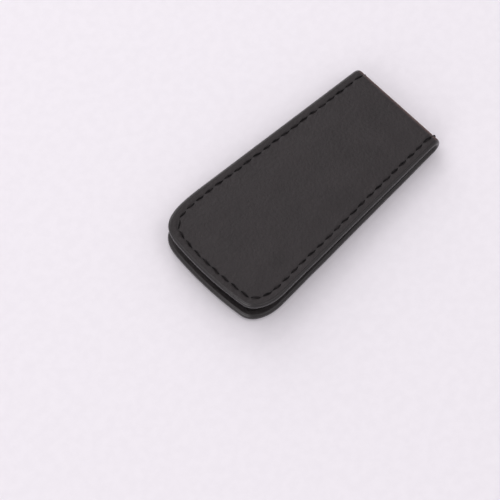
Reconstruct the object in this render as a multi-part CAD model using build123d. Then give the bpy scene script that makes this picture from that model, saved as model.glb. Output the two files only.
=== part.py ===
from build123d import *
import math
import os

# Magnetic money clip: a tapered leather strip, lined and sewn round its edge, folded in a U over a
# thin stack of notes. +X runs from the free ends to the fold, +Y across, +Z up. The lower flap lies
# on the table. Millimetres and degrees.

os.makedirs("parts", exist_ok=True)

# The folded strip
CLIP_LENGTH = 70.1  # free end to the outside of the fold
FREE_END_WIDTH = 35.6  # across the flap, where its sides would meet the free end
FOLD_WIDTH = 29.0
CORNER_RADIUS = 7.8
END_BOW = 1.2  # how far the free end's edge bows out at its middle
FOLD_GAP = 2.4  # between the two lining faces at the fold
REST_OPENING = 2.0  # angle between the flaps, as a thin stack of notes holds them

# The layers
OUTER_LEATHER = 1.0
LINING = 0.8
OUTER_RISE = 0.4  # how far the filling lifts the outer leather above its border
LINING_RISE = 0.8  # and the lining, which is thinner and gives more
MARGIN = 3.0  # flat sewn border, from the edge to where each face starts to rise
SLOPE = 1.4  # width of the slope from the border up to the raised middle
BOARD_CLEARANCE = 0.1

# The magnets, two round ones side by side in each flap
MAGNET_DIAMETER = 10.0
MAGNET_SPACING = 13.0
MAGNET_FROM_END = 12.0
MAGNET_CHAMFER = 0.15
WINDOW_CLEARANCE = 0.1  # round each magnet, in its window in the board

# The seam
SEAM_INSET = 2.05
STITCH_PITCH = 3.15
THREAD_WIDTH = 0.5
THREAD_HEIGHT = 0.35
HOLE_CLEARANCE = 0.05  # round the thread, in each needle hole
FOLD_HOLES = (0.25, 0.75)  # where the two needle holes of each row lie along the fold

# Worked out from those
FILLING = OUTER_RISE + LINING_RISE  # thickness of board and magnets
INNER_RADIUS = FOLD_GAP / 2  # lining face in the fold
SEAM_RADIUS = INNER_RADIUS + LINING  # where outer leather and lining meet in the fold
OUTER_RADIUS = SEAM_RADIUS + OUTER_LEATHER
FLAP_LENGTH = CLIP_LENGTH - OUTER_RADIUS
FOLD_SWEEP = 180 - REST_OPENING
FOLD_CENTRE_X = CLIP_LENGTH / 2 - OUTER_RADIUS - THREAD_HEIGHT / 2
FOLD_CENTRE_Z = OUTER_RISE + OUTER_RADIUS
FOLD_ROW_Y = FOLD_WIDTH / 2 - SEAM_INSET
HOLE_RADIUS = THREAD_WIDTH / 2 + HOLE_CLEARANCE


# A flap's own frame: X 0 at the fold and minus towards the free end, Z 0 where outer leather and
# lining meet, +Z towards the outer face.


def flap_outline(reach=0.0):
    """A flap's outline, its straight sides carried on past the fold line by reach."""
    half_end = FREE_END_WIDTH / 2
    half_fold = FOLD_WIDTH / 2
    taper = (half_end - half_fold) / FLAP_LENGTH
    corner_x = END_BOW - FLAP_LENGTH
    corner_y = half_fold - taper * corner_x
    reach_y = half_fold - taper * reach
    edges = [
        Line((reach, -reach_y), (reach, reach_y)),
        Line((reach, reach_y), (corner_x, corner_y)),
        ThreePointArc((corner_x, corner_y), (-FLAP_LENGTH, 0), (corner_x, -corner_y)),
        Line((corner_x, -corner_y), (reach, -reach_y)),
    ]
    face = make_face(edges)
    corners = face.vertices().sort_by(Axis.X)[:2]
    return fillet(corners, CORNER_RADIUS)


def mound(height):
    """A low mound on the XY plane, inside the flap's border, with sloping sides."""
    foot = offset(flap_outline(), -MARGIN)
    top = Pos(0, 0, height) * offset(flap_outline(), -MARGIN - SLOPE)
    return loft([foot.face(), top.face()], ruled=True)


def seam_line():
    """The seam round a flap, from the fold line round the free end and back to the fold line."""
    ring = offset(flap_outline(SEAM_INSET), -SEAM_INSET).edges()
    fold_side = ring.sort_by(Axis.X)[-1]
    return Wire([edge for edge in ring if edge.center() != fold_side.center()])


def needle_holes():
    """The centres of a flap's needle holes, half a stitch from the fold line at both ends."""
    line = seam_line()
    count = round(line.length / STITCH_PITCH)
    return [line.position_at((i + 0.5) / count) for i in range(count)]


def thread_row(face_z):
    """Thread lying on a face at face_z from hole to hole, with a leg down each hole."""
    line = seam_line()
    points = [line.position_at(0), *needle_holes(), line.position_at(1)]
    lying = extrude(trace(Polyline(points), THREAD_WIDTH), THREAD_HEIGHT)
    leg = Pos(0, 0, face_z / 2) * Cylinder(THREAD_WIDTH / 2, face_z)
    return Pos(0, 0, face_z) * lying + [Pos(hole) * leg for hole in needle_holes()]


def leather_layer(thickness, rise):
    """One layer of leather, formed over its share of the filling, with its needle holes."""
    sheet = extrude(flap_outline(), thickness)
    formed = sheet + Pos(0, 0, thickness) * mound(rise) - mound(rise)
    drill = Pos(0, 0, thickness / 2) * Cylinder(HOLE_RADIUS, thickness)
    return formed - [Pos(hole) * drill for hole in needle_holes()]


def magnet_place(side):
    """The centre of the magnet on the side of the flap that has Y's sign side."""
    filling_middle = (OUTER_RISE - LINING_RISE) / 2
    return Pos(MAGNET_FROM_END - FLAP_LENGTH, side * MAGNET_SPACING / 2, filling_middle)


def magnet():
    disc = Cylinder(MAGNET_DIAMETER / 2, FILLING)
    return chamfer(disc.edges().filter_by(GeomType.CIRCLE), MAGNET_CHAMFER)


def stiffener_board():
    """The board that fills a flap, with a window for each magnet."""
    outline = offset(flap_outline(), -MARGIN - SLOPE - BOARD_CLEARANCE)
    board = Pos(0, 0, -LINING_RISE) * extrude(outline, FILLING)
    window = Cylinder(MAGNET_DIAMETER / 2 + WINDOW_CLEARANCE, FILLING)
    return board - [magnet_place(side) * window for side in (-1, 1)]


def turned_over(piece):
    """A piece made on the outer side, moved to the lining side."""
    return mirror(piece, about=Plane.XY)


def flap_pieces(left):
    """Every piece of one flap, in the flap's own frame, where the clip's left is at Y's sign left."""
    return {
        "outer_leather": leather_layer(OUTER_LEATHER, OUTER_RISE),
        "lining": turned_over(leather_layer(LINING, LINING_RISE)),
        "stiffener_board": stiffener_board(),
        "left_magnet": magnet_place(left) * magnet(),
        "right_magnet": magnet_place(-left) * magnet(),
        "needle_thread": thread_row(OUTER_LEATHER),
        "bobbin_thread": turned_over(thread_row(LINING)),
    }


# The fold's own frame: Y along the fold's axis, and every piece a part of a ring about it, from
# straight down, out through +X, to where the upper flap starts.


def round_the_fold(share):
    """Turns +X to the direction that is this share of the way along the fold."""
    return Rot(0, 90 - share * FOLD_SWEEP, 0)


def fold_ring(inner, outer, width):
    section = Pos((inner + outer) / 2, 0, 0) * Rectangle(outer - inner, width)
    start = round_the_fold(0) * section
    return revolve(start, Axis((0, 0, 0), (0, -1, 0)), FOLD_SWEEP)


def fold_pins(inner, outer, radius):
    """A round pin from inner to outer at each needle hole in the fold."""
    pin = Pos((inner + outer) / 2, 0, 0) * Rot(0, 90, 0) * Cylinder(radius, outer - inner)
    return [
        Pos(0, side * FOLD_ROW_Y, 0) * round_the_fold(share) * pin
        for side in (-1, 1)
        for share in FOLD_HOLES
    ]


def fold_layer(inner, outer):
    """One layer of leather in the fold, with its needle holes."""
    return fold_ring(inner, outer, FOLD_WIDTH) - fold_pins(inner / 2, outer + 1, HOLE_RADIUS)


def fold_thread(inner, outer, legs_from, legs_to):
    """The two thread rows over the fold, one near each edge, with a leg down each hole."""
    row = fold_ring(inner, outer, THREAD_WIDTH)
    rows = [Pos(0, side * FOLD_ROW_Y, 0) * row for side in (-1, 1)]
    return rows[0] + rows[1] + fold_pins(legs_from, legs_to, THREAD_WIDTH / 2)


def fold_pieces():
    """Every piece of the fold, in the fold's own frame."""
    needle_top = OUTER_RADIUS + THREAD_HEIGHT
    bobbin_top = INNER_RADIUS - THREAD_HEIGHT
    needle_middle = (OUTER_RADIUS + needle_top) / 2
    bobbin_middle = (INNER_RADIUS + bobbin_top) / 2
    return {
        "outer_leather": fold_layer(SEAM_RADIUS, OUTER_RADIUS),
        "lining": fold_layer(INNER_RADIUS, SEAM_RADIUS),
        "needle_thread": fold_thread(OUTER_RADIUS, needle_top, SEAM_RADIUS, needle_middle),
        "bobbin_thread": fold_thread(bobbin_top, INNER_RADIUS, bobbin_middle, SEAM_RADIUS),
    }


def hinge_axis(share):
    """Where the hinge lies that straightens the half of the fold whose middle is at share."""
    half_turn = math.radians(FOLD_SWEEP / 4)
    from_centre = SEAM_RADIUS * half_turn / math.sin(half_turn)  # keeps the strip's length
    return (fold_centre * round_the_fold(share) * Pos(from_centre, 0, 0)).position


fold_centre = Pos(FOLD_CENTRE_X, 0, FOLD_CENTRE_Z)
lower_place = fold_centre * Pos(0, 0, -SEAM_RADIUS) * Rot(180, 0, 0)
upper_place = fold_centre * Rot(0, REST_OPENING, 0) * Pos(0, 0, SEAM_RADIUS)
assemblies = {
    "lower": (lower_place, flap_pieces(left=-1)),
    "fold": (fold_centre, fold_pieces()),
    "upper": (upper_place, flap_pieces(left=1)),
}

for body, (place, pieces) in assemblies.items():
    for name, piece in pieces.items():
        export_step(place * piece, f"parts/{body}_{name}.step")

print("hinge axes: lower at", hinge_axis(0.25), "and upper at", hinge_axis(0.75))
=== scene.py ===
import math

import bpy
import numpy as np
from mathutils import Matrix, Vector, noise


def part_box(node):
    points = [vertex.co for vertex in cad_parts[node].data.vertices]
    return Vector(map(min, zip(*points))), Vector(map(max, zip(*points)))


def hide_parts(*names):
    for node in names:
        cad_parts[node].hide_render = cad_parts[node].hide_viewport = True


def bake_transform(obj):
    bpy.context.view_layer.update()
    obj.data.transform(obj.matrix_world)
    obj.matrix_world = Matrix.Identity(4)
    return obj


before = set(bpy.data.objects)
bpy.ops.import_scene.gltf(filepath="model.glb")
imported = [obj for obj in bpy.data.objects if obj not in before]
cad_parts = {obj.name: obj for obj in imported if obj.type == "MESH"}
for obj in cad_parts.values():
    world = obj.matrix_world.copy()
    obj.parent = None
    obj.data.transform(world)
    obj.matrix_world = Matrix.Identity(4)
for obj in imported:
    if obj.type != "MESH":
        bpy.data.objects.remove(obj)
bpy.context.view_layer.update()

# A magnetic money clip: a tapered strip of black leather with a lining, sewn round its edge and
# folded in a U. Metres. The strip is built flat and then bent, so each of its points has three
# measures: along, from the middle of the fold towards a free end; across, along Y; and height,
# from the layer where outer leather and lining meet out to the face.

MM = 0.001
LOWER, UPPER = -1, 1  # the two flaps, as the sides of the fold's middle
OUTER, LINING = 1, -1  # the two leather layers, as the sides of the layer where they meet
NEAR, FAR = -1, 1  # the two long sides of the strip, by Y's sign
EDGE_PAINT = 0.25 * MM  # how far the painted edge stands out past the leather under it


# ---------------------------------------------------------------- sizes from the frame


def tilt(node):
    """The angle of a node's middle above the fold's centre."""
    low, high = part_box(node)
    middle = (low + high) / 2
    return math.atan2(middle.z - fold_z, fold_x - middle.x)


flap_low, flap_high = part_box("lower_outer_leather")
fold_low, fold_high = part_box("fold_outer_leather")
fold_x = flap_high.x
outer_radius = fold_high.x - fold_x
fold_z = fold_low.z + outer_radius
seam_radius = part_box("fold_lining")[1].x - fold_x
flap_length = fold_x - flap_low.x
fold_half_width = fold_high.y - EDGE_PAINT
opening = tilt("upper_left_magnet") + tilt("lower_left_magnet")
half_fold = seam_radius * (math.pi - opening) / 2

# ---------------------------------------------------------------- sizes of the strip

FREE_END_HALF_WIDTH = 17.95 * MM  # where the sides would meet the free end
END_BOW = 1.7 * MM  # how far the free end bulges in its middle
CORNER_SIDE = {NEAR: 8.7 * MM, FAR: 13.0 * MM}  # how far back along the side a corner's curve starts
CORNER_END = {NEAR: 5.6 * MM, FAR: 8.2 * MM}  # and where along the free end it stops
CORNER_PULL = {NEAR: 0.61, FAR: 0.79}  # how far the curve's handles reach towards the corner
THICKNESS = {OUTER: outer_radius - seam_radius, LINING: 0.8 * MM}
RISE = {OUTER: 0.4 * MM, LINING: 0.8 * MM}  # how far the filling lifts each face
MARGIN = 2.4 * MM  # from the edge to where a face starts to rise
SLOPE = {OUTER: 7.0 * MM, LINING: 2.6 * MM}
POCKET_MARGIN = 3.0 * MM  # and from the edge to the pocket that holds the filling
POCKET_SLOPE = 1.4 * MM
EDGE_DEPTH = 0.42 * MM  # how far in from the edge its rounding reaches
EDGE_WOBBLE = 0.035 * MM  # the edge is cut and painted by hand
EDGE_WOBBLE_LENGTH = 6 * MM
FACE_WOBBLE = 0.05 * MM
FACE_WOBBLE_LENGTH = 9 * MM
BORDER_FALL = 0.06 * MM  # how far the border falls from the seam to the edge
FOLD_FALL = 0.12 * MM  # and how much further where the strip bends
FALL_WIDTH = 1.9 * MM

SEAM_INSET = 2.05 * MM
STITCH_LENGTH = 3.15 * MM
STITCH_SLANT = 0.34 * MM  # how far each stitch leans across the seam
HOLE_JITTER = 0.13 * MM  # how far the needle holes stray along the seam
HOLE_STRAY = 0.7  # and across it, as a share of that
HOLE_DEPTHS = (0.7, 1.15)  # the least and the most that a needle hole is pulled in, as shares
STITCH_SEED = 11
THREAD_RADIUS = 0.21 * MM
THREAD_SINK = 0.42 * MM  # how far the thread's middle dips below the face in a needle hole
SINK_SHARPNESS = 2.6  # higher keeps the dip closer to the hole
HOLE_SQUEEZE = 0.2  # how much thinner the thread is in a hole
FOLD_LIFT = {NEAR: 0.22 * MM, FAR: -0.08 * MM}  # how far the thread stands off over the fold
TWIST_LENGTH = 1.7 * MM
PLIES = 3
PLY_BULGE = 0.13  # how far each ply stands out, as a share of the thread's radius
TROUGH_DEPTH = 0.16 * MM  # each stitch presses a trough into the leather
TROUGH_WIDTH = 0.36 * MM
TROUGH_AT_HOLE = 0.3  # the share of its depth that is left where a needle hole is
PUCKER_DEPTH = 0.16 * MM  # each needle hole pulls the leather in
PUCKER_LENGTH = 0.4 * MM
PUCKER_WIDTH = 0.3 * MM
PUCKER_SLANT = 0.5  # how much the puckers lean across the seam

# Mesh steps
SIDE_COLUMNS = 145
FOLD_COLUMNS = 12
CORNER_COLUMNS = 22
END_COLUMNS = 26  # half of the free end, between its corners
EDGE_ROWS = 6
FACE_STEP = 0.22 * MM
BACK_STEP = 0.6 * MM
GRID_INSET = 3.4 * MM  # where rows that follow the edge give way to a grid
STITCH_STEPS = 26
THREAD_SIDES = 12


def smooth(value, start, end):
    share = np.clip((value - start) / (end - start), 0, 1)
    return share * share * (3 - 2 * share)


# ---------------------------------------------------------------- the flat strip


def arc(centre, radius, start, end, steps):
    """Points on an arc and the directions from them to its centre."""
    angles = np.linspace(start, end, steps + 1)
    outward = np.stack([np.cos(angles), np.sin(angles)], axis=-1)
    return centre + radius * outward, -outward


def run(start, end, inward, steps):
    """Points on a straight run, with the direction that points in from its edge."""
    share = np.linspace(0, 1, steps + 1)[:, None]
    return start + share * (end - start), np.repeat(inward[None], steps + 1, axis=0)


def corner_curve(handles, steps):
    """Points on a cubic curve with these four handles, and the directions in from the edge."""
    t = np.linspace(0, 1, steps + 1)[:, None]
    weights = [(1 - t) ** 3, 3 * (1 - t) ** 2 * t, 3 * (1 - t) * t**2, t**3]
    points = sum(w * h for w, h in zip(weights, handles))
    legs = np.diff(handles, axis=0)
    ahead = (1 - t) ** 2 * legs[0] + 2 * (1 - t) * t * legs[1] + t**2 * legs[2]
    ahead /= np.linalg.norm(ahead, axis=1, keepdims=True)
    return points, np.stack([ahead[:, 1], -ahead[:, 0]], axis=-1)


def half_outline(across):
    """The edge on one side, from the fold's middle to the middle of the free end."""
    taper = math.atan2(FREE_END_HALF_WIDTH - fold_half_width, flap_length)
    side = np.array([math.cos(taper), math.sin(taper)])
    inward = np.array([math.sin(taper), -math.cos(taper)])
    fold_line = np.array([half_fold, fold_half_width])
    bow_radius = (FREE_END_HALF_WIDTH**2 + END_BOW**2) / (2 * END_BOW)
    bow_centre = np.array([half_fold + flap_length - bow_radius, 0])
    # Side and bowed end would meet at a sharp corner, which a curve with no sudden bend cuts off.
    gap = fold_line - bow_centre
    half = gap @ side
    corner = fold_line + (math.sqrt(half**2 - gap @ gap + bow_radius**2) - half) * side
    side_end = corner - CORNER_SIDE[across] * side
    corner_angle = math.atan2(*(corner - bow_centre)[::-1])
    bow_angle = corner_angle - CORNER_END[across] / bow_radius
    end_start, end_inward = (x[0] for x in arc(bow_centre, bow_radius, bow_angle, 0, 1))
    end_side = np.array([end_inward[1], -end_inward[0]])
    handles = [
        side_end,
        side_end + CORNER_PULL[across] * CORNER_SIDE[across] * side,
        end_start + CORNER_PULL[across] * CORNER_END[across] * end_side,
        end_start,
    ]
    pieces = [
        run(fold_line * [0, 1], fold_line, np.array([0.0, -1.0]), FOLD_COLUMNS),
        run(fold_line, side_end, inward, SIDE_COLUMNS),
        corner_curve(handles, CORNER_COLUMNS),
        arc(bow_centre, bow_radius, bow_angle, 0, END_COLUMNS),
    ]
    points = np.concatenate([p[:-1] for p, _ in pieces] + [pieces[-1][0][-1:]])
    directions = np.concatenate([d[:-1] for _, d in pieces] + [pieces[-1][1][-1:]])
    return points * [1, across], directions * [1, across]


def outline():
    """The whole edge of half the strip, from the fold's middle round the free end and back."""
    near, near_in = half_outline(NEAR)
    far, far_in = half_outline(FAR)
    return np.concatenate([near, far[-2::-1]]), np.concatenate([near_in, far_in[-2::-1]])


def lengths(points):
    steps = np.linalg.norm(np.diff(points, axis=0), axis=1)
    return np.concatenate([[0], np.cumsum(steps)])


edge_points, edge_inward = outline()
seam_points = edge_points + SEAM_INSET * edge_inward
seam_at = lengths(seam_points)
stitch_count = round(seam_at[-1] / STITCH_LENGTH)
pitch = seam_at[-1] / stitch_count


def quads(grid):
    """The faces between a grid's neighbouring vertices."""
    return np.stack([grid[:-1, :-1], grid[:-1, 1:], grid[1:, 1:], grid[1:, :-1]], -1).reshape(-1, 4)


def sheet_grid(insets):
    """A sheet's vertices and faces: rows that follow the edge at these insets, and a grid inside.

    Returns the points, their distance from the edge and along the seam, the faces, and the
    vertices on the fold's middle line, in order across.
    """
    rings = edge_points[None] + insets[:, None, None] * edge_inward[None]
    rows, columns = rings.shape[:2]
    across = 2 * END_COLUMNS
    length = (columns - 1 - across) // 2
    inner = rings[-1]
    near, far = inner[:length], inner[::-1][:length]
    end = inner[length:length + across + 1]
    share = np.linspace(0, 1, across + 1)[:, None]
    bow = end - (end[0] + share * (end[-1] - end[0]))
    bend = np.clip((np.arange(length) - length) / CORNER_COLUMNS + 1, 0, 1)
    inside = near[:, None] + share[None] * (far - near)[:, None] + bend[:, None, None] * bow[None]
    inside = inside[:, 1:-1].reshape(-1, 2)

    ring_grid = np.arange(rows * columns).reshape(rows, columns)
    last = ring_grid[-1]
    grid = np.empty((length + 1, across + 1), int)
    grid[:, 0] = last[:length + 1]
    grid[:, -1] = last[::-1][:length + 1]
    grid[-1] = last[length:length + across + 1]
    grid[:-1, 1:-1] = rows * columns + np.arange(len(inside)).reshape(length, across - 1)

    points = np.concatenate([rings.reshape(-1, 2), inside])
    reach = [np.linalg.norm(edge_points - p, axis=1).min() for p in inside]
    from_edge = np.concatenate([np.repeat(insets, columns), reach])
    along_seam = np.concatenate([np.tile(seam_at, rows), np.zeros(len(inside))])
    faces = np.concatenate([quads(ring_grid), quads(grid.T)])
    fold_line = np.concatenate([ring_grid[:, 0], grid[0, 1:-1], ring_grid[::-1, -1]])
    return points, from_edge, along_seam, faces, fold_line


# ---------------------------------------------------------------- relief


def needle_holes(side):
    """Each needle hole's place along the seam, its distance from the edge, and its depth's share."""
    chance = np.random.default_rng(STITCH_SEED + side)
    # The first and last holes stay in place, where the strip's halves meet and the threads join.
    steady = np.minimum(1, np.minimum(np.arange(stitch_count), np.arange(stitch_count)[::-1]))
    jitter = chance.normal(0, HOLE_JITTER, (2, stitch_count)) * steady
    depth = chance.uniform(*HOLE_DEPTHS, stitch_count)
    along_seam = (np.arange(stitch_count) + 0.5) * pitch + jitter[0]
    return along_seam, SEAM_INSET + jitter[1] * HOLE_STRAY, depth


def stitch_relief(side, from_edge, along_seam):
    """How deep the thread pulls a face down: a trough under it and a pucker at each hole."""
    hole_at, hole_inset, depth = needle_holes(side)
    nearest = np.clip((along_seam / pitch).astype(int), 0, stitch_count - 1)
    past_hole = (along_seam - hole_at[nearest]) / PUCKER_LENGTH
    beside_hole = (from_edge - hole_inset[nearest]) / PUCKER_WIDTH
    slanted = beside_hole + PUCKER_SLANT * side * past_hole
    between_holes = TROUGH_AT_HOLE + (1 - TROUGH_AT_HOLE) * (1 - np.exp(-(past_hole**2)))
    trough = TROUGH_DEPTH * between_holes * np.exp(-(((from_edge - SEAM_INSET) / TROUGH_WIDTH) ** 2))
    pucker = PUCKER_DEPTH * depth[nearest] * np.exp(-(past_hole**2) - slanted**2)
    return trough + pucker


def border_fall(points, from_edge):
    """How far the border falls towards the edge, most where the strip bends."""
    bent = 1 - smooth(points[:, 0], 0, 2 * half_fold)
    near_edge = np.clip(1 - from_edge / FALL_WIDTH, 0, 1) ** 2
    return (BORDER_FALL + FOLD_FALL * bent) * near_edge


def wobble(points, side, layer, wavelength):
    """Smooth unevenness between about -1 and 1, the same on both flaps at the fold's middle."""
    shift = Vector((3.7 * layer, 1.3, 5.1 * layer))  # takes each layer to its own place in the noise
    return np.array(
        [noise.noise(Vector((side * a, y, 0)) / wavelength + shift) for a, y in points]
    )


def filling_rise(points, from_edge, margin, slope):
    """The share of the filling's full height at each point."""
    past_fold = points[:, 0] - half_fold
    return smooth(from_edge, margin, margin + slope) * smooth(past_fold, margin, margin + slope)


# ---------------------------------------------------------------- bending and meshes


def place(side, points):
    """Strip points (along, across, out from the seam layer) bent round the fold, in the frame."""
    along, across, out = points.T
    angle = side * np.minimum(along, half_fold) / seam_radius - opening / 2
    straight = side * np.maximum(along - half_fold, 0)
    radius = seam_radius + out
    x = fold_x + radius * np.cos(angle) - straight * np.sin(angle)
    z = fold_z + radius * np.sin(angle) + straight * np.cos(angle)
    return np.stack([x, across, z], axis=-1)


def vertex_normals(points, faces, seam_vertices):
    """Smooth normals, with none across the fold's middle plane where the strip's halves meet."""
    normals = np.zeros_like(points)
    first, second, third, fourth = (points[faces[:, corner]] for corner in range(4))
    face_normals = np.cross(third - first, fourth - second)
    for corner in range(4):
        np.add.at(normals, faces[:, corner], face_normals)
    along = np.array([math.sin(opening / 2), 0, math.cos(opening / 2)])
    normals[seam_vertices] -= (normals[seam_vertices] @ along)[:, None] * along
    return normals / np.linalg.norm(normals, axis=1, keepdims=True)


def strip_mesh(name, side, layer, points, faces, caps, seam_vertices, chart, values):
    """A piece of the strip from points (along, across, height above the seam layer).

    caps are many-sided end faces, chart its UV map and values its named vertex attributes.
    """
    placed = place(side, points * [1, 1, layer])
    if side * layer > 0:  # bending turns these pieces inside out
        faces = faces[:, ::-1]
        caps = [cap[::-1] for cap in caps]
    mesh = bpy.data.meshes.new(name)
    mesh.from_pydata(placed.tolist(), [], faces.tolist() + [cap.tolist() for cap in caps])
    mesh.polygons.foreach_set("use_smooth", np.ones(len(mesh.polygons), bool))
    corners = np.empty(len(mesh.loops), int)
    mesh.loops.foreach_get("vertex_index", corners)
    chart_layer = mesh.uv_layers.new(name="strip")
    centimetres = (chart[corners] * 100).astype(np.float32)
    chart_layer.data.foreach_set("uv", centimetres.ravel())
    for key, value in values.items():
        mesh.attributes.new(key, "FLOAT", "POINT").data.foreach_set("value", value.astype(np.float32))
    normals = vertex_normals(placed, faces, seam_vertices)
    mesh.normals_split_custom_set_from_vertices(normals.tolist())
    piece = bpy.data.objects.new(name, mesh)
    bpy.context.scene.collection.objects.link(piece)
    return piece


def leather(name, side, layer):
    """Half of one leather layer: its face, its rounded edge, its hidden back, and the cut."""
    middle = (THICKNESS[OUTER] - THICKNESS[LINING]) / 2 * layer  # where the edge stands out most
    first = math.asin(-middle / (THICKNESS[layer] - middle))
    turn = np.linspace(first, math.pi / 2, EDGE_ROWS + 1)
    flat_rows = round((GRID_INSET - EDGE_DEPTH) / FACE_STEP)
    insets = np.concatenate(
        [
            EDGE_DEPTH - (EDGE_DEPTH + EDGE_PAINT) * np.cos(turn),
            np.linspace(EDGE_DEPTH, GRID_INSET, flat_rows + 1)[1:],
        ]
    )
    flat, from_edge, along_seam, faces, fold_line = sheet_grid(insets)
    rise = filling_rise(flat, from_edge, MARGIN, SLOPE[layer])
    relief = stitch_relief(side, from_edge, along_seam)
    sunk = 1 - wobble(flat, side, layer, FACE_WOBBLE_LENGTH)
    hollow = sunk * FACE_WOBBLE * smooth(from_edge, 0, MARGIN)
    height = THICKNESS[layer] + RISE[layer] * rise - hollow - relief - border_fall(flat, from_edge)
    lift = np.ones(len(flat))
    columns = len(edge_points)
    lift[:(EDGE_ROWS + 1) * columns] = np.repeat(np.sin(turn), columns)
    height = middle + (height - middle) * lift
    hand = wobble(flat[:columns], side, OUTER, EDGE_WOBBLE_LENGTH) * EDGE_WOBBLE
    shift = np.zeros_like(flat)
    for row in range(EDGE_ROWS + 1):
        fade = 1 - row / (EDGE_ROWS + 1)
        shift[row * columns:(row + 1) * columns] = hand[:, None] * edge_inward * fade
    face_points = np.column_stack([flat + shift, height])

    back_rows = round((GRID_INSET - EDGE_DEPTH) / BACK_STEP)
    back_insets = np.concatenate([insets[:1], np.linspace(EDGE_DEPTH, GRID_INSET, back_rows + 1)])
    back, back_edge, _, back_faces, back_line = sheet_grid(back_insets)
    back_height = RISE[layer] * filling_rise(back, back_edge, POCKET_MARGIN, POCKET_SLOPE)
    back_points = np.column_stack([back, back_height])[columns:]
    renumber = np.arange(len(back)) + len(flat) - columns
    renumber[:columns] = np.arange(columns)
    back_faces = renumber[back_faces][:, ::-1]
    cut = np.concatenate([fold_line, renumber[back_line][-2:0:-1]])

    points = np.concatenate([face_points, back_points])
    chart = points[:, :2] * [side, 1]
    hidden = np.zeros(len(back_points))
    values = {
        "edge_mm": np.concatenate([from_edge, hidden]) / MM,
        "relief": np.concatenate([relief, hidden]) / (TROUGH_DEPTH + PUCKER_DEPTH),
    }
    all_faces = np.concatenate([faces, back_faces])
    return strip_mesh(name, side, layer, points, all_faces, [cut], cut, chart, values)


def seam_place(at, inset):
    """The point on the seam at this distance along it and this far from the edge."""
    # The seam runs straight over the fold, so it carries on straight past the fold's middle.
    beyond = np.clip(at, 0, seam_at[-1]) - at
    along = np.interp(at, seam_at, seam_points[:, 0]) - np.abs(beyond)
    across = np.interp(at, seam_at, seam_points[:, 1])
    inward = np.stack([np.interp(at, seam_at, edge_inward[:, i]) for i in (0, 1)], axis=-1)
    return np.stack([along, across], axis=-1) + inward * (inset - SEAM_INSET)[..., None]


def thread(name, side, layer):
    """Half of one thread: twisted strands that lie on the face and dip into each needle hole."""
    hole_at, hole_inset, _ = needle_holes(side)
    hole_at = np.concatenate([[-pitch / 2], hole_at, [seam_at[-1] + pitch / 2]])
    hole_inset = np.concatenate([[SEAM_INSET], hole_inset, [SEAM_INSET]])
    holes = seam_place(hole_at, hole_inset)
    count = stitch_count * STITCH_STEPS + 1
    at = np.linspace(0, stitch_count, count) + 0.5
    stitch = np.minimum(at.astype(int), stitch_count)
    share = at - stitch
    in_hole = np.abs(np.cos(np.pi * share)) ** SINK_SHARPNESS
    chord = holes[stitch + 1] - holes[stitch]
    sideways = np.stack([-chord[:, 1], chord[:, 0]], -1) / np.linalg.norm(chord, axis=1)[:, None]
    slant = side * layer * STITCH_SLANT * (2 * share - 1) * (1 - in_hole)
    flat = holes[stitch] + share[:, None] * chord + slant[:, None] * sideways
    lift = np.where(flat[:, 1] < 0, FOLD_LIFT[NEAR], FOLD_LIFT[FAR]) * (1 - in_hole)
    flat_from = half_fold if side == UPPER else 0  # underneath, the table presses the thread flat
    lift = lift * (1 - smooth(flat[:, 0], flat_from, flat_from + half_fold))
    height = THICKNESS[layer] + lift - THREAD_SINK * in_hole
    path = np.column_stack([flat, height])

    ahead = np.gradient(path, axis=0)
    ahead /= np.linalg.norm(ahead, axis=1, keepdims=True)
    inward = np.column_stack([sideways, np.zeros(count)])
    up = np.cross(ahead, inward)
    around = np.linspace(0, 2 * np.pi, THREAD_SIDES, endpoint=False)
    turns = round(seam_at[-1] / TWIST_LENGTH * PLIES) / PLIES
    twist = side * layer * 2 * np.pi * turns * (at - 0.5) / stitch_count
    plies = 1 + PLY_BULGE * np.cos(PLIES * (around[None] - twist[:, None]))
    radius = THREAD_RADIUS * plies * (1 - HOLE_SQUEEZE * in_hole[:, None])
    cosines, sines = (turned[None, :, None] for turned in (np.cos(around), np.sin(around)))
    circle = cosines * inward[:, None] + sines * up[:, None]
    points = (path[:, None] + radius[..., None] * circle).reshape(-1, 3)

    grid = np.arange(len(points)).reshape(count, THREAD_SIDES)
    faces = quads(np.column_stack([grid, grid[:, 0]]))
    caps = [grid[0, ::-1], grid[-1]]
    chart = np.column_stack([
        np.repeat(at * pitch, THREAD_SIDES),
        np.tile(around, count) * THREAD_RADIUS,
    ])
    values = {"in_hole": np.repeat(in_hole, THREAD_SIDES)}
    ends = np.concatenate([grid[0], grid[-1]])
    return strip_mesh(name, side, layer, points, faces, caps, ends, chart, values)


# ---------------------------------------------------------------- materials

OUTER_BLACKS = ((0.0172, 0.0139, 0.0144, 1), (0.0212, 0.0172, 0.0178, 1))  # two tones, in patches
LINING_BLACKS = ((0.018, 0.0148, 0.0153, 1), (0.024, 0.0198, 0.0204, 1))
RUBBED_BROWN = (0.12, 0.052, 0.036, 1)
# painted shade for the seam's trough and the needle holes' puckers, where the thread pulls the leather
# in
HOLE_SHADE_BLACK = (0.003, 0.003, 0.003, 1)
PAINT_BLACK = (0.017, 0.015, 0.015, 1)
THREAD_BLACKS = ((0.002, 0.0018, 0.002, 1), (0.018, 0.0155, 0.016, 1))
# painted shade for the thread where it dips into a needle hole
THREAD_HOLE_SHADE = (0.001, 0.001, 0.001, 1)
BOARD_BROWNS = ((0.16, 0.09, 0.05, 1), (0.36, 0.24, 0.14, 1))
BOARD_CLUMPS = (0.22, 0.15, 0.10, 1)
NICKELS = ((0.66, 0.63, 0.59, 1), (0.52, 0.50, 0.47, 1))
PAPERS = ((0.78, 0.76, 0.793, 1), (0.80, 0.78, 0.813, 1))

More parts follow.
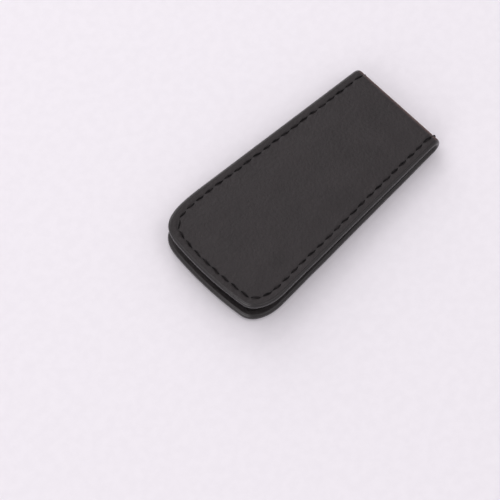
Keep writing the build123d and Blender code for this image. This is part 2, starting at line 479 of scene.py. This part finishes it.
PAINT_REACH = (0.25, 0.6)  # mm in from the edge, where the edge paint fades out
PAINT_ROUGHNESS = 0.24
PAINT_SPECULAR, LEATHER_SPECULAR, THREAD_SPECULAR, PAPER_SPECULAR = 0.5, 0.34, 0.12, 0.2
PAPER_ROUGHNESS = 0.9
ROUGHNESS_SPREAD = 0.06  # how far the specks take the leather's roughness up and down
RIDGE = 0.08  # cm from the fold's middle to the ridge that has rubbed brown
RIDGE_REACH = (0.02, 0.16)  # cm from the ridge, where the brown fades out
GRAIN_SHARE, WRINKLE_SHARE, SPECK_SHARE = 0.7, 0.8, 0.4  # of the leather's bump
BUMP_DEPTH = 0.2 * MM


def node(tree, kind, inputs=(), **settings):
    """A shader node with its settings, and its inputs given as values or as other nodes' outputs."""
    made = tree.nodes.new("ShaderNode" + kind)
    for key, value in settings.items():
        setattr(made, key, value)
    for key, value in dict(inputs).items():
        if isinstance(value, bpy.types.NodeSocket):
            tree.links.new(value, made.inputs[key])
        else:
            made.inputs[key].default_value = value
    return made


def new_material(name):
    made = bpy.data.materials.new(name)
    made.use_nodes = True
    return made, made.node_tree, made.node_tree.nodes["Principled BSDF"]


def math_node(tree, operation, first, second=0.0, third=0.0):
    return node(tree, "Math", {0: first, 1: second, 2: third}, operation=operation).outputs[0]


def remap(tree, value, low, high, to_low=0.0, to_high=1.0):
    """value, taken smoothly from low..high to to_low..to_high."""
    inputs = {"Value": value, "From Min": low, "From Max": high, "To Min": to_low, "To Max": to_high}
    return node(tree, "MapRange", inputs, interpolation_type="SMOOTHSTEP").outputs["Result"]


def mix_value(tree, share, first, second):
    return node(tree, "Mix", {"Factor": share, 2: first, 3: second}).outputs[0]


def mix_colour(tree, share, first, second, blend="MIX"):
    inputs = {"Factor": share, 6: first, 7: second}
    return node(tree, "Mix", inputs, data_type="RGBA", blend_type=blend).outputs[2]


def bump_from(tree, height, strength, depth):
    inputs = {"Height": height, "Strength": strength, "Distance": depth}
    return node(tree, "Bump", inputs).outputs["Normal"]


def strip_chart(tree, turn=0.0, stretch=(1, 1, 1)):
    """The strip's own flat coordinates, in centimetres, turned by an angle and stretched."""
    chart = node(tree, "UVMap", uv_map="strip").outputs["UV"]
    inputs = {"Vector": chart, "Rotation": (0, 0, turn), "Scale": stretch}
    return node(tree, "Mapping", inputs).outputs["Vector"]


def own_place(tree, stretch=(1, 1, 1)):
    """The piece's own coordinates, in metres, stretched."""
    place_at = node(tree, "TexCoord").outputs["Object"]
    return node(tree, "Mapping", {"Vector": place_at, "Scale": stretch}).outputs["Vector"]


def noise_node(tree, vector, scale, detail=3.0, rough=0.55, distortion=0.0):
    inputs = {
        "Vector": vector,
        "Scale": scale,
        "Detail": detail,
        "Roughness": rough,
        "Distortion": distortion,
    }
    return node(tree, "TexNoise", inputs).outputs["Fac"]


def attribute(tree, name):
    return node(tree, "Attribute", attribute_name=name).outputs["Fac"]


def leather_grain(tree, chart, specks, grain_scale):
    """The leather's bump height and its wrinkles: pebbles, specks and fine wrinkles."""
    # Two sets of wrinkles that run different ways, each in its own patches.
    longways = strip_chart(tree, turn=0.3, stretch=(0.5, 1.0, 1.0))
    crossways = strip_chart(tree, turn=0.8, stretch=(1.0, 0.45, 1.0))
    first = noise_node(tree, longways, 19.0, rough=0.6, distortion=1.6)
    second = noise_node(tree, crossways, 21.0, rough=0.6, distortion=1.6)
    patches = remap(tree, noise_node(tree, chart, 1.7), 0.4, 0.6)
    wrinkles = mix_value(tree, patches, first, second)
    inputs = {"Vector": chart, "Scale": grain_scale, "Randomness": 1.0}
    cells = node(tree, "TexVoronoi", inputs, feature="SMOOTH_F1").outputs["Distance"]
    creases = math_node(tree, "MULTIPLY", wrinkles, WRINKLE_SHARE)
    height = math_node(tree, "MULTIPLY_ADD", cells, GRAIN_SHARE, creases)
    height = math_node(tree, "ADD", height, math_node(tree, "MULTIPLY", specks, SPECK_SHARE))
    return height, wrinkles


def rubbed_ridge(tree, chart, wrinkles):
    """How much brown shows where the fold has rubbed, most on top of the wrinkles."""
    along = node(tree, "SeparateXYZ", {"Vector": chart}).outputs["X"]
    from_ridge = math_node(tree, "ABSOLUTE", math_node(tree, "SUBTRACT", along, RIDGE))
    at_ridge = remap(tree, from_ridge, *RIDGE_REACH, 1.0, 0.0)
    return math_node(tree, "MULTIPLY", at_ridge, remap(tree, wrinkles, 0.35, 0.65, 0.6, 1.0))


def leather_material(name, blacks, grain_scale, roughness, rub):
    """Matte black leather: pebbled grain, fine wrinkles, painted shade in the seam's trough and needle
    holes, and a painted edge.

    rub is how much brown shows where the fold has rubbed.
    """
    material, tree, shader = new_material(name)
    chart = strip_chart(tree)
    patches = noise_node(tree, chart, 1.1, detail=4.0)
    specks = noise_node(tree, chart, 22.0, detail=2.0)
    height, wrinkles = leather_grain(tree, chart, specks, grain_scale)
    painted = remap(tree, attribute(tree, "edge_mm"), *PAINT_REACH, 1.0, 0.0)
    # painted shade: darkest where the relief is deepest, in the seam's trough and the needle holes
    in_hole = remap(tree, attribute(tree, "relief"), 0.2, 0.9, 0.0, 0.85)

    tone = mix_colour(tree, remap(tree, patches, 0.3, 0.7), *blacks)
    speckled = math_node(tree, "MULTIPLY_ADD", specks, 0.9, 0.55)
    tone = mix_colour(tree, 1.0, tone, speckled, "MULTIPLY")
    rubbed = math_node(tree, "MULTIPLY", rubbed_ridge(tree, chart, wrinkles), rub)
    tone = mix_colour(tree, rubbed, tone, RUBBED_BROWN)
    # painted shade in the seam and its needle holes
    tone = mix_colour(tree, in_hole, tone, HOLE_SHADE_BLACK)
    tone = mix_colour(tree, painted, tone, PAINT_BLACK)
    tree.links.new(tone, shader.inputs["Base Color"])

    smoothest, roughest = roughness - ROUGHNESS_SPREAD, roughness + ROUGHNESS_SPREAD
    worn = remap(tree, specks, 0.3, 0.7, smoothest, roughest)
    tree.links.new(mix_value(tree, painted, worn, PAINT_ROUGHNESS), shader.inputs["Roughness"])
    glossy = mix_value(tree, painted, LEATHER_SPECULAR, PAINT_SPECULAR)
    tree.links.new(glossy, shader.inputs["Specular IOR Level"])

    height = math_node(tree, "MULTIPLY", height, math_node(tree, "SUBTRACT", 1.0, painted))
    tree.links.new(bump_from(tree, height, 1.0, BUMP_DEPTH), shader.inputs["Normal"])
    return material


def thread_material():
    """Waxed black polyester thread, with painted shade where it dips into its needle holes."""
    material, tree, shader = new_material("sewing_thread")
    uneven = noise_node(tree, strip_chart(tree), 9.0)
    fibres = noise_node(tree, strip_chart(tree, turn=0.5, stretch=(1, 6, 1)), 40.0, detail=2.0)
    # painted shade where the thread dips into its needle holes
    in_hole = remap(tree, attribute(tree, "in_hole"), 0.2, 0.7)
    tone = mix_colour(tree, remap(tree, uneven, 0.35, 0.7), *THREAD_BLACKS)
    tone = mix_colour(tree, in_hole, tone, THREAD_HOLE_SHADE)
    tree.links.new(tone, shader.inputs["Base Color"])
    tree.links.new(remap(tree, fibres, 0.3, 0.7, 0.6, 0.8), shader.inputs["Roughness"])
    shader.inputs["Specular IOR Level"].default_value = THREAD_SPECULAR
    tree.links.new(bump_from(tree, fibres, 0.4, 0.04 * MM), shader.inputs["Normal"])
    return material


def board_material():
    """Bonded leather board: pressed brown fibres."""
    material, tree, shader = new_material("bonded_leather_board")
    stretched = own_place(tree, stretch=(1, 3, 1))
    fibres = noise_node(tree, stretched, 900.0, detail=5.0, rough=0.7, distortion=1.2)
    clumps = noise_node(tree, own_place(tree), 220.0)
    tone = mix_colour(tree, remap(tree, fibres, 0.3, 0.7), *BOARD_BROWNS)
    tone = mix_colour(tree, remap(tree, clumps, 0.45, 0.75, 0.0, 0.5), tone, BOARD_CLUMPS)
    tree.links.new(tone, shader.inputs["Base Color"])
    tree.links.new(remap(tree, clumps, 0.3, 0.7, 0.75, 0.92), shader.inputs["Roughness"])
    tree.links.new(bump_from(tree, fibres, 0.6, 0.05 * MM), shader.inputs["Normal"])
    return material


def magnet_material():
    """Nickel plating with a fine tumbled surface and faint scuffs."""
    material, tree, shader = new_material("nickel_plated_magnet")
    tumbled = noise_node(tree, own_place(tree), 2600.0, detail=2.0)
    stretched = own_place(tree, stretch=(1, 9, 1))
    scuffs = noise_node(tree, stretched, 350.0, detail=4.0, rough=0.6, distortion=2.0)
    tone = mix_colour(tree, remap(tree, scuffs, 0.4, 0.7), *NICKELS)
    tree.links.new(tone, shader.inputs["Base Color"])
    shader.inputs["Metallic"].default_value = 1.0
    tree.links.new(remap(tree, scuffs, 0.35, 0.75, 0.18, 0.42), shader.inputs["Roughness"])
    tree.links.new(bump_from(tree, tumbled, 0.25, 0.01 * MM), shader.inputs["Normal"])
    return material


def floor_material():
    """Pale studio paper."""
    material, tree, shader = new_material("studio_paper")
    grain = noise_node(tree, own_place(tree), 400.0)
    tone = mix_colour(tree, remap(tree, grain, 0.3, 0.7), *PAPERS)
    tree.links.new(tone, shader.inputs["Base Color"])
    shader.inputs["Roughness"].default_value = PAPER_ROUGHNESS
    shader.inputs["Specular IOR Level"].default_value = PAPER_SPECULAR
    return material


# ---------------------------------------------------------------- the clip


def bend_with_fold(piece, side):
    """Bakes the piece's placement into its mesh, the same for either half of the strip."""
    if side == LOWER:
        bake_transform(piece)
    else:
        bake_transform(piece)


SIDE_NAMES = {LOWER: "lower", UPPER: "upper"}
LEATHER_NAMES = {OUTER: "outer_leather", LINING: "lining"}
THREAD_NAMES = {OUTER: "needle_thread", LINING: "bobbin_thread"}

leather_looks = {
    OUTER: leather_material("outer_leather", OUTER_BLACKS, grain_scale=13.0, roughness=0.55, rub=1.0),
    LINING: leather_material("lining_leather", LINING_BLACKS, grain_scale=20.0, roughness=0.6, rub=0.0),
}
thread_look = thread_material()

for side, flap in SIDE_NAMES.items():
    for layer in (OUTER, LINING):
        hide = leather(f"{flap}_{LEATHER_NAMES[layer]}_skin", side, layer)
        hide.data.materials.append(leather_looks[layer])
        bend_with_fold(hide, side)
        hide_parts(f"{flap}_{LEATHER_NAMES[layer]}", f"fold_{LEATHER_NAMES[layer]}")

        row = thread(f"{flap}_{THREAD_NAMES[layer]}_stitches", side, layer)
        row.data.materials.append(thread_look)
        bend_with_fold(row, side)
        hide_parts(f"{flap}_{THREAD_NAMES[layer]}", f"fold_{THREAD_NAMES[layer]}")

# The boards and magnets keep their shapes from the CAD.
inner_looks = {"board": board_material(), "magnet": magnet_material()}
for name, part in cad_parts.items():
    look = inner_looks.get(name.split("_")[-1])
    if look:
        part.data.materials.clear()
        part.data.materials.append(look)


# ---------------------------------------------------------------- floor, light and camera

FLOOR_SIZE = 4.0
LIGHT_COLOUR = (1.0, 0.965, 0.985)
SKY_COLOUR = (0.985, 0.955, 0.99, 1)
SKY_STRENGTH = 0.55
SOFTBOXES = {  # the direction each shines from, its distance, its size and its power in watts
    "overhead_softbox": ((-0.25, 0.35, 0.9), 1.6, 1.3, 5.0),
    "side_softbox": ((-0.9, -0.2, 0.45), 1.8, 1.2, 9.5),
    "near_fill": ((0.15, -0.35, 0.95), 1.6, 0.9, 4.5),
    "far_softbox": ((0.3, 0.9, 0.6), 0.9, 0.8, 3.1),
}

bpy.ops.mesh.primitive_plane_add(size=FLOOR_SIZE, location=(0, 0, 0))
floor = bpy.context.object
floor.name = "studio_floor"
floor.data.materials.append(floor_material())


def area_light(name, direction, distance, size, power):
    """A square soft light, shining on the clip from this direction."""
    data = bpy.data.lights.new(name, "AREA")
    data.size = size
    data.energy = power
    data.color = LIGHT_COLOUR
    lamp = bpy.data.objects.new(name, data)
    lamp.location = Vector(direction).normalized() * distance
    lamp.rotation_euler = Vector(direction).to_track_quat("Z", "Y").to_euler()
    bpy.context.scene.collection.objects.link(lamp)


for name, (direction, distance, size, power) in SOFTBOXES.items():
    area_light(name, direction, distance, size, power)

world = bpy.data.worlds.new("studio")
world.use_nodes = True
sky = world.node_tree.nodes["Background"]
sky.inputs["Color"].default_value = SKY_COLOUR
sky.inputs["Strength"].default_value = SKY_STRENGTH
bpy.context.scene.world = world
bpy.context.scene.view_settings.view_transform = "Standard"

# The camera: its direction as an azimuth and elevation, turned a little about its own axis.
VIEW_AZIMUTH = math.radians(-48.8)
VIEW_ELEVATION = math.radians(65.3)
VIEW_ROLL = math.radians(4.6)
VIEW_DISTANCE = 625.6 * MM
VIEW_CENTRE = Vector((-20.06, -1.16, 0)) * MM
LENS, SENSOR = 180, 36  # both in mm

back = Vector((
    math.sin(VIEW_AZIMUTH) * math.cos(VIEW_ELEVATION),
    -math.cos(VIEW_AZIMUTH) * math.cos(VIEW_ELEVATION),
    math.sin(VIEW_ELEVATION),
))
level = Vector((0, 0, 1)).cross(back).normalized()
right = Matrix.Rotation(VIEW_ROLL, 3, back) @ level
camera = bpy.data.objects.new("camera", bpy.data.cameras.new("camera"))
camera.data.lens = LENS
camera.data.sensor_width = SENSOR
camera.data.clip_start = 0.01
camera.location = VIEW_CENTRE + back * VIEW_DISTANCE
camera.rotation_mode = "QUATERNION"
camera.rotation_quaternion = Matrix((right, back.cross(right), back)).transposed().to_quaternion()
bpy.context.scene.collection.objects.link(camera)
bpy.context.scene.camera = camera
